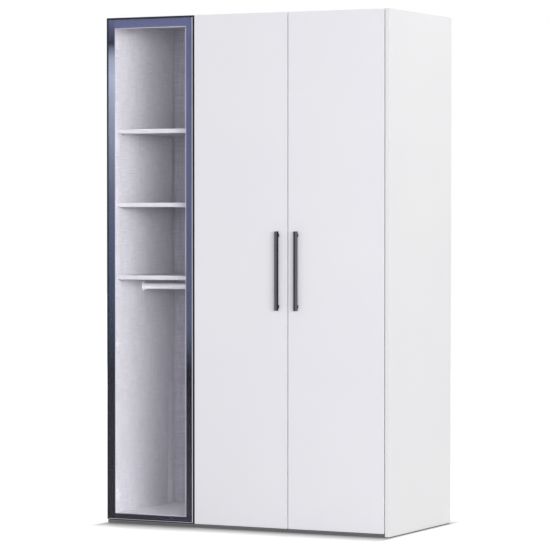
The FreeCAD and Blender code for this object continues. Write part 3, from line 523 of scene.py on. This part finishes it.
# Where each painted highlight starts and ends, as shares of the bar's width, and how far back it reaches.
highlights = {"middle": (0.2, 0.8, 0.0004), "right": (0.5, 1.1, 0.006)}
for door, (highlight_start, highlight_end, highlight_depth) in highlights.items():
    low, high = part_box(f"{door}_handle")
    bar_width = high.x - low.x
    coating = dark_coating(f"dark_coated_zinc_painted_highlight_{door}",
                           low.x + bar_width * (highlight_start + highlight_end) / 2,
                           bar_width * (highlight_end - highlight_start), low.y + highlight_depth)
    bar_back = low.y + bar_depth
    bar = add_block(low, Vector((high.x, bar_back, high.z)))
    select(bar, edges=lambda middle, run: abs(run.z) > bar_depth and middle.y < bar_back - bar_depth / 2)
    bpy.ops.mesh.bevel(offset=front_bevel, segments=1)
    foot_edges = (low.z + foot_inset, low.z + foot_inset + foot_height,
                  high.z - foot_inset - foot_height, high.z - foot_inset)
    for level in foot_edges:
        bpy.ops.mesh.select_all(action="SELECT")
        bpy.ops.mesh.bisect(plane_co=(0, 0, level), plane_no=(0, 0, 1))
    bar_middle = (low.x + high.x) / 2
    for side in (-foot_width / 2, foot_width / 2):
        bpy.ops.mesh.select_all(action="SELECT")
        bpy.ops.mesh.bisect(plane_co=(bar_middle + side, 0, 0), plane_no=(1, 0, 0))
    select(bar, faces=lambda middle, normal: (
        normal.y > square_on and abs(middle.x - bar_middle) < foot_width / 2
        and (foot_edges[0] < middle.z < foot_edges[1] or foot_edges[2] < middle.z < foot_edges[3])))
    bpy.ops.mesh.extrude_region_move(TRANSFORM_OT_translate={"value": (0, high.y - bar_back, 0)})
    bpy.ops.object.mode_set(mode="OBJECT")
    apply_modifier(bar, "BEVEL", width=bar_round, segments=2, limit_method="ANGLE")
    take(f"{door}_bar_handle", f"{door}_door", "handle_metal", coating, f"{door}_handle")

# Glass door frame
# Dark anodised aluminium profiles, mitred and cleated at the corners, with a slim lip in front of the
# pane. A narrow pale bead is pressed onto the lip, on the closing side and along the foot only: a painted
# highlight, for the line of light that the lip's edge catches on those sides.


def dark_anodised():
    """Dark anodised aluminium: almost black, smooth, with the faint lines of the extrusion die."""
    die_line = 0.0011
    line_run = 0.2
    material, shader, place = new_material("dark_anodised_aluminium")
    drawn = add_node(material, "ShaderNodeMapping",
                     {"Vector": place, "Scale": (1 / die_line, 1 / die_line, 1 / line_run)})
    lines = add_node(material, "ShaderNodeTexNoise",
                     {"Vector": drawn.outputs["Vector"], "Scale": 1, "Detail": 2})
    worn = add_node(material, "ShaderNodeMapRange",
                    {"Value": lines.outputs["Fac"], "To Min": 0.3, "To Max": 0.36})
    tone = add_node(material, "ShaderNodeMix", data_type="RGBA", inputs={
        0: lines.outputs["Fac"], 6: linear("#1F2028"), 7: linear("#25262E")})
    material.node_tree.links.new(worn.outputs[0], shader["Roughness"])
    material.node_tree.links.new(tone.outputs[2], shader["Base Color"])
    shader["Metallic"].default_value = 0.6
    return material


dress(dark_anodised(), "hinge_stile", "closing_stile", "top_rail", "bottom_rail")
door_low, door_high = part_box("hinge_stile")
door_high.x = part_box("closing_stile")[1].x
pane_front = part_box("glass_pane")[0].y
lip_width = 0.008
bead_width = 0.0028
bead_proud = 0.0002
bead_shift = 0.003
bead_round = 0.0004
foot_bead_width = 0.0016
foot_bead_rise = 0.003
# The bead's pale colour, on the closing side and foot only, is a painted highlight.
bead_painted_highlight = satin_metal("pale_aluminium_painted_highlight", "#E4E6F0", 0.3, metallic=0.2)
bead_low = Vector((door_low.x + lip_width, door_low.y - bead_proud, door_low.z + foot_bead_rise))
bead_high = Vector((door_high.x - lip_width + bead_shift, pane_front, door_high.z - lip_width))
upright_left = bead_high.x - bead_width
upright = add_block(Vector((upright_left, bead_low.y, bead_low.z)), bead_high)
foot_bead = add_block(bead_low, Vector((upright_left, bead_high.y, bead_low.z + foot_bead_width)))
for bead in (upright, foot_bead):
    apply_modifier(bead, "BEVEL", width=bead_round, segments=2, limit_method="ANGLE")
upright.select_set(True)
bpy.ops.object.join()
take("lip_bead", "glass_door", "dark_anodised_aluminium", bead_painted_highlight)

# Glass pane
# Toughened float glass, clear, held in the frame by a rubber gasket. Glass lets light through, so the
# pane throws no shadow on what is behind it.


def clear_glass():
    """Clear float glass: colourless from the front, with faint waves and weak polished reflections."""
    waviness = 0.6
    material, shader, place = new_material("clear_float_glass")
    rolled = add_node(material, "ShaderNodeTexNoise", {"Vector": place, "Scale": 1 / waviness, "Detail": 0})
    relief = add_node(material, "ShaderNodeBump",
                      {"Height": rolled.outputs["Fac"], "Strength": 0.02, "Distance": 0.001})
    material.node_tree.links.new(relief.outputs[0], shader["Normal"])
    shader["Base Color"].default_value = linear("#FAFAFB")
    shader["Transmission Weight"].default_value = 1
    shader["Roughness"].default_value = 0
    shader["IOR"].default_value = 1.45
    shader["Specular Tint"].default_value = linear("#8C8C8C")
    return material


dress(clear_glass(), "glass_pane")
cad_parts["glass_pane"].visible_shadow = False

# Glass border
# Ceramic enamel printed on the back of the pane and fired: deep blue-grey, glossy through the glass, with a
# silver line along the inner edge. Its colour is lighter at the top than at the foot, with a pale blue
# cloud
# high on the hinge side: a painted reflection of the room, not a change in the enamel.


def enamel_with_painted_reflection(hinge_band_edge):
    """Fired blue-grey enamel seen through glass, with a painted reflection: slate blue above, near black
    below, paler on the hinge side.
    """
    material, shader, place = new_material("blue_grey_enamel_painted_reflection")
    x, _, z = add_node(material, "ShaderNodeSeparateXYZ", {"Vector": place}).outputs
    share = add_node(material, "ShaderNodeMapRange",
                     {"Value": z, "From Min": door_low.z, "From Max": door_high.z})
    # Colour stops by share of height: a painted reflection of the room, one ramp for each side of the door.
    closing_side_painted_reflection = ((0, "#35343F"), (0.3, "#191A26"), (0.38, "#4E546C"), (0.55, "#565C78"), (1, "#64688B"))
    hinge_side_painted_reflection = ((0, "#2D2C31"), (0.3, "#2B2D35"), (0.38, "#394254"), (0.5, "#485067"), (0.64, "#5C637A"),
                  (0.8, "#8B94A8"), (0.88, "#A9B1C6"), (0.92, "#99A1B6"), (0.95, "#343642"), (1, "#64688B"))
    painted_reflections = []
    for colours in (hinge_side_painted_reflection, closing_side_painted_reflection):
        shade = add_node(material, "ShaderNodeValToRGB", {"Fac": share.outputs[0]})
        stops = shade.color_ramp.elements
        stops[0].color = linear(colours[0][1])
        stops[1].color = linear(colours[-1][1])
        for position, colour in colours[1:-1]:
            stops.new(position).color = linear(colour)
        painted_reflections.append(shade.outputs["Color"])
    closing = add_node(material, "ShaderNodeMath", {0: x, 1: hinge_band_edge}, operation="GREATER_THAN")
    tone = add_node(material, "ShaderNodeMix", data_type="RGBA", inputs={
        0: closing.outputs[0], 6: painted_reflections[0], 7: painted_reflections[1]})
    material.node_tree.links.new(tone.outputs[2], shader["Base Color"])
    shader["Roughness"].default_value = 0.12
    shader["Specular IOR Level"].default_value = 0
    return material


def add_ring(low, high, width):
    """Add a flat rectangular ring of one width, facing front, its thickness from the corners' depths."""
    ring = add_block(low, high)
    select(ring, faces=lambda middle, normal: abs(normal.y) > square_on)
    bpy.ops.mesh.inset(thickness=width)
    bpy.ops.mesh.bridge_edge_loops()
    bpy.ops.object.mode_set(mode="OBJECT")


border_low, border_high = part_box("glass_border")
band_side, band_top, band_bottom = 0.037, 0.043, 0.026
fired_depth = 0.00015
line_width = 0.003
line_finish = satin_metal("silver_enamel_line", "#C6C1D4", 0.4, metallic=0.2)
dress(enamel_with_painted_reflection(door_low.x + band_side), "glass_border")
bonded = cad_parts["glass_border"].modifiers.new("fired into the glass", "DISPLACE")
bonded.mid_level = 0
bonded.strength = fired_depth
add_ring(Vector((door_low.x + band_side, border_low.y - fired_depth, door_low.z + band_bottom)),
         Vector((door_high.x - band_side, border_high.y, door_high.z - band_top)), line_width)
take("border_line", "glass_door", "dark_glass_enamel", line_finish)

# Hinges
# Pressed steel concealed hinges, nickel plated: plates and arms on the sides, pins, and cups let into
# the plain doors. Those of the glass door are coated pale grey and end in slim housings in the frame.
nickel = satin_metal("nickel_plated_steel", "#C4C2BE", 0.24)
pale_coat = moulded_plastic("pale_grey_coated_steel", "#DAD8DF")
dress(nickel, "glass_hinge_pins", "glass_hinge_housings")
dress(pale_coat, "glass_hinge_arms", "glass_hinge_plates")
for door in ("middle", "right"):
    dress(nickel, *(f"{door}_hinge_{part}" for part in ("arms", "plates", "pins", "cups")))

screw_radius, screw_height = 0.0038, 0.0016
wing_rise, wing_depth = 0.017, 0.042
arm_screw_depths = (0.030, 0.055)
flange_rise = 0.024
for door in ("glass", "middle", "right"):
    levels = hinge_levels(door)
    pins_low, pins_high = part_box(f"{door}_hinge_pins")
    axis_y = (pins_low.y + pins_high.y) / 2
    inward = -1 if door == "right" else 1
    inner_corner = 0 if door == "right" else 1
    facing = Matrix.Scale(inward, 4, (1, 0, 0))
    plate_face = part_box(f"{door}_hinge_plates")[inner_corner].x
    arm_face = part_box(f"{door}_hinge_arms")[inner_corner].x
    seats = [(plate_face, axis_y + wing_depth, level + rise) for level in levels
             for rise in (-wing_rise, wing_rise)]
    seats += [(arm_face, axis_y + depth, level) for level in levels for depth in arm_screw_depths]
    join_copies(add_screw_head(screw_radius, screw_height),
                [Matrix.Translation(seat) @ facing for seat in seats])
    take(f"{door}_hinge_screws", "carcase", "plated_steel", pale_coat if door == "glass" else nickel)
    if door != "glass":
        cup_low, cup_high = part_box(f"{door}_hinge_cups")
        backward = Matrix.Rotation(math.pi / 2, 4, "Z")
        seats = [((cup_low.x + cup_high.x) / 2, cup_high.y, level + rise) for level in levels
                 for rise in (-flange_rise, flange_rise)]
        join_copies(add_screw_head(screw_radius, screw_height),
                    [Matrix.Translation(seat) @ backward for seat in seats])
        take(f"{door}_cup_screws", f"{door}_door", "plated_steel", nickel)

# Glazing gasket and corner cleats
# Extruded black rubber, pressed in between the pane and the frame, and cast aluminium cleats, pushed into
# the profiles' ends, that draw the mitred corners together.


def black_rubber():
    """Extruded rubber: nearly black, dull, with a slight bloom."""
    bloom = 0.01
    material, shader, place = new_material("black_extruded_rubber")
    clouded = add_node(material, "ShaderNodeTexNoise", {"Vector": place, "Scale": 1 / bloom, "Detail": 3})
    tone = add_node(material, "ShaderNodeMix", data_type="RGBA", inputs={
        0: clouded.outputs["Fac"], 6: linear("#17171A"), 7: linear("#232326")})
    material.node_tree.links.new(tone.outputs[2], shader["Base Color"])
    shader["Roughness"].default_value = 0.7
    return material


dress(black_rubber(), "glazing_gasket")
dress(satin_metal("cast_aluminium", "#A9AAAE", 0.5), "corner_cleats")

# Push latch and buffers
# A plastic latch body screwed to the inner side, with a sprung plunger that pushes the glass door open,
# a plated strike on the door, and soft clear buffers that the plain doors close against.


def soft_clear_plastic():
    """Soft clear plastic: milky, lets light through, with a dull skin."""
    cloud = 0.004
    material, shader, place = new_material("soft_clear_plastic")
    clouded = add_node(material, "ShaderNodeTexNoise", {"Vector": place, "Scale": 1 / cloud, "Detail": 2})
    worn = add_node(material, "ShaderNodeMapRange",
                    {"Value": clouded.outputs["Fac"], "To Min": 0.3, "To Max": 0.5})
    material.node_tree.links.new(worn.outputs[0], shader["Roughness"])
    shader["Base Color"].default_value = linear("#EDEEEE")
    shader["Transmission Weight"].default_value = 0.7
    shader["IOR"].default_value = 1.48
    return material


dress(moulded_plastic("pale_grey_latch_plastic", "#B9B9BE"), "push_latch_body", "push_latch_plunger")
dress(plating, "push_latch_strike")
dress(soft_clear_plastic(), "door_buffers")

# Floor and light
# A plain white studio: a matt floor that is white to the eye but keeps the wardrobe's shadow, its glow
# turned down close around the wardrobe's foot, which paints a soft shade there; even soft light from all
# sides, and large soft lamps, the strongest of them in front on the right.


def seen_directly(paint):
    """1 on rays from the camera, also mirrored or through glass, and 0 on those that light matt faces."""
    first_scatter = 0.5
    paths = add_node(paint, "ShaderNodeLightPath", {}).outputs
    bent = add_node(paint, "ShaderNodeMath", {0: paths["Is Glossy Ray"], 1: paths["Is Transmission Ray"]},
                    operation="MAXIMUM")
    unscattered = add_node(paint, "ShaderNodeMath", {0: paths["Diffuse Depth"], 1: first_scatter},
                           operation="LESS_THAN")
    bent_only = add_node(paint, "ShaderNodeMath", {0: bent.outputs[0], 1: unscattered.outputs[0]},
                         operation="MULTIPLY")
    seen = add_node(paint, "ShaderNodeMath", {0: paths["Is Camera Ray"], 1: bent_only.outputs[0]},
                    operation="MAXIMUM")
    return seen.outputs[0]


# Near the foot the floor's glow is turned down, so it greys there: painted shade, besides its real shadow.
floor_size = 60
painted_shade_lift = 0.08        # how far the floor is lifted towards white right at the wardrobe
lift_reach = 0.2           # how far in front of the wardrobe it is quite white
side_squeeze = 5           # beside the wardrobe, that distance is this many times shorter
footprint = (cad_high - cad_low) / 2
footprint.z = 0
bpy.ops.object.select_all(action="DESELECT")
bpy.ops.mesh.primitive_plane_add(size=floor_size, location=(0, 0, 0))
floor = bpy.context.object
floor.name = "studio_floor"
floor_paint, floor_shader, floor_place = new_material("white_studio_floor")
from_middle = add_node(floor_paint, "ShaderNodeVectorMath", {0: floor_place}, operation="ABSOLUTE")
from_edge = add_node(floor_paint, "ShaderNodeVectorMath", {0: from_middle.outputs[0], 1: footprint},
                     operation="SUBTRACT")
beyond = add_node(floor_paint, "ShaderNodeVectorMath", {0: from_edge.outputs[0], 1: (0, 0, 0)},
                  operation="MAXIMUM")
squeezed = add_node(floor_paint, "ShaderNodeVectorMath", {0: beyond.outputs[0], 1: (side_squeeze, 1, 1)},
                    operation="MULTIPLY")
distance = add_node(floor_paint, "ShaderNodeVectorMath", {0: squeezed.outputs[0]}, operation="LENGTH")
lift = add_node(floor_paint, "ShaderNodeMapRange", {
    "Value": distance.outputs["Value"], "From Max": lift_reach, "To Min": painted_shade_lift, "To Max": 1})
glow = add_node(floor_paint, "ShaderNodeMath", {0: lift.outputs[0], 1: seen_directly(floor_paint)},
                operation="MULTIPLY")
floor_paint.node_tree.links.new(glow.outputs[0], floor_shader["Emission Strength"])
floor_shader["Base Color"].default_value = linear("#C0C0C0")
floor_shader["Roughness"].default_value = 0.9
floor_shader["Emission Color"].default_value = linear("#FFFFFF")
floor.data.materials.append(floor_paint)

surrounding_light = 0.35
studio = bpy.data.worlds.new("white_studio")
bpy.context.scene.world = studio
studio.use_nodes = True
level = add_node(studio, "ShaderNodeMapRange",
                 {"Value": seen_directly(studio), "To Min": surrounding_light, "To Max": 1})
backdrop = studio.node_tree.nodes["Background"].inputs
studio.node_tree.links.new(level.outputs[0], backdrop["Strength"])
backdrop["Color"].default_value = linear("#FFFFFF")

wardrobe_middle = (cad_low + cad_high) / 2
for name, spot, width, height, watts in (("front", (2.9, -13.7, 2.0), 3, 3, 290),
                                         ("front_right", (10.7, -11.9, 2.6), 7.5, 3, 1260),
                                         ("right_side", (14.1, -7.5, 2.6), 4, 3, 290),
                                         ("upper_right", (3.2, 1.8, 4.2), 2, 2, 48),
                                         ("overhead", (-0.3, 0.9, 6.0), 2, 2, 36),
                                         ("rear", (-8, 9, 5), 4, 3, 900)):
    lamp = bpy.data.lights.new(name, "AREA")
    lamp.shape = "RECTANGLE"
    lamp.size = width
    lamp.size_y = height
    lamp.energy = watts
    stand = bpy.data.objects.new(name, lamp)
    bpy.context.scene.collection.objects.link(stand)
    stand.visible_glossy = False
    stand.location = spot
    stand.rotation_euler = (wardrobe_middle - Vector(spot)).to_track_quat("-Z", "Y").to_euler()

# Camera
# A long lens, far in front of the wardrobe and to its right, a little above the middle of its height and
# tilted down slightly.
tilt_down = 1.1981
turn_left = 26.7554
camera_data = bpy.data.cameras.new("camera")
camera_data.sensor_width = 36
camera_data.lens = 188.36
camera_data.clip_end = 100
camera = bpy.data.objects.new("camera", camera_data)
bpy.context.scene.collection.objects.link(camera)
camera.location = (5.3694, -10.6734, 1.2837)
camera.rotation_euler = (math.radians(90 - tilt_down), 0, math.radians(turn_left))
bpy.context.scene.camera = camera
bpy.context.scene.view_settings.view_transform = "Standard"
